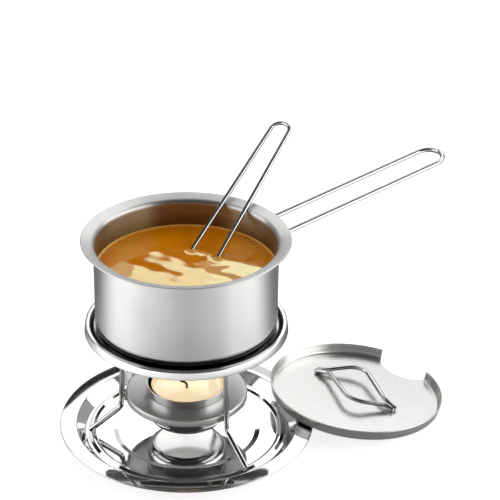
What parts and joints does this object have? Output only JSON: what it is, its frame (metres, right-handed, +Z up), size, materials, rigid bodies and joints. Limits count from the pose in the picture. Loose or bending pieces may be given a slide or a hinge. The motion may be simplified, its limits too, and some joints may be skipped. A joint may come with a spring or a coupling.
{
  "type": "fondue pot set",
  "caption": "Small sauce fondue set: wire-handled pot with flared rim on a wire-legged tealight stand in a round tray, with a wire ladle and a notched lid.",
  "frame": {"origin": "centre of the tray's flat underside, where the set stands", "axes": "+Z up; +X towards the side where the lid lies; +Y towards the back, on the side the ladle and the pot handle point to"},
  "size_m": [0.1999, 0.1497, 0.1394],
  "materials": {
    "polished_steel": "mirror polished stainless steel",
    "satin_steel": "satin brushed stainless steel",
    "steel_wire": "bright drawn stainless wire",
    "aluminium_foil": "thin drawn aluminium",
    "candle_wax": "warm white wax, slightly translucent",
    "burnt_wick": "braided cotton, charred",
    "butter_sauce": "clear amber melted butter, glossy"
  },
  "bodies": {
    "tray": {"base_tray": "polished_steel"},
    "stand": {"stand_ring": "polished_steel", "tealight_shelf": "satin_steel", "tealight_holder": "polished_steel", "stand_leg_1": "steel_wire", "stand_leg_2": "steel_wire", "stand_leg_3": "steel_wire", "leg_weld_1": "steel_wire", "leg_weld_2": "steel_wire", "leg_weld_3": "steel_wire"},
    "tealight": {"tealight_cup": "aluminium_foil", "tealight_wick": "burnt_wick", "wick_sustainer": "aluminium_foil", "tealight_wax": "candle_wax"},
    "pot": {"pot_body": "satin_steel", "pot_handle": "steel_wire", "sauce": "butter_sauce"},
    "ladle": {"ladle_bowl": "polished_steel", "ladle_handle": "steel_wire"},
    "lid": {"lid_plate": "satin_steel", "lid_handle_near": "steel_wire", "lid_handle_far": "steel_wire"}
  },
  "joints": [
    {"name": "stand_lift", "type": "slide", "parent": "tray", "child": "stand", "axis": [0, 0, 1], "range_m": [0, 0.08]},
    {"name": "tealight_lift", "type": "slide", "parent": "stand", "child": "tealight", "axis": [0, 0, 1], "range_m": [0, 0.026]},
    {"name": "pot_lift", "type": "slide", "parent": "stand", "child": "pot", "axis": [0, 0, 1], "range_m": [0, 0.08]},
    {"name": "ladle_lift", "type": "slide", "parent": "pot", "child": "ladle", "axis": [0, 0, 1], "range_m": [0, 0.07], "deforming": ["sauce"]},
    {"name": "lid_lift", "type": "slide", "parent": "tray", "child": "lid", "axis": [0.55, -0.55, 0.6285], "range_m": [0, 0.15]}
  ]
}
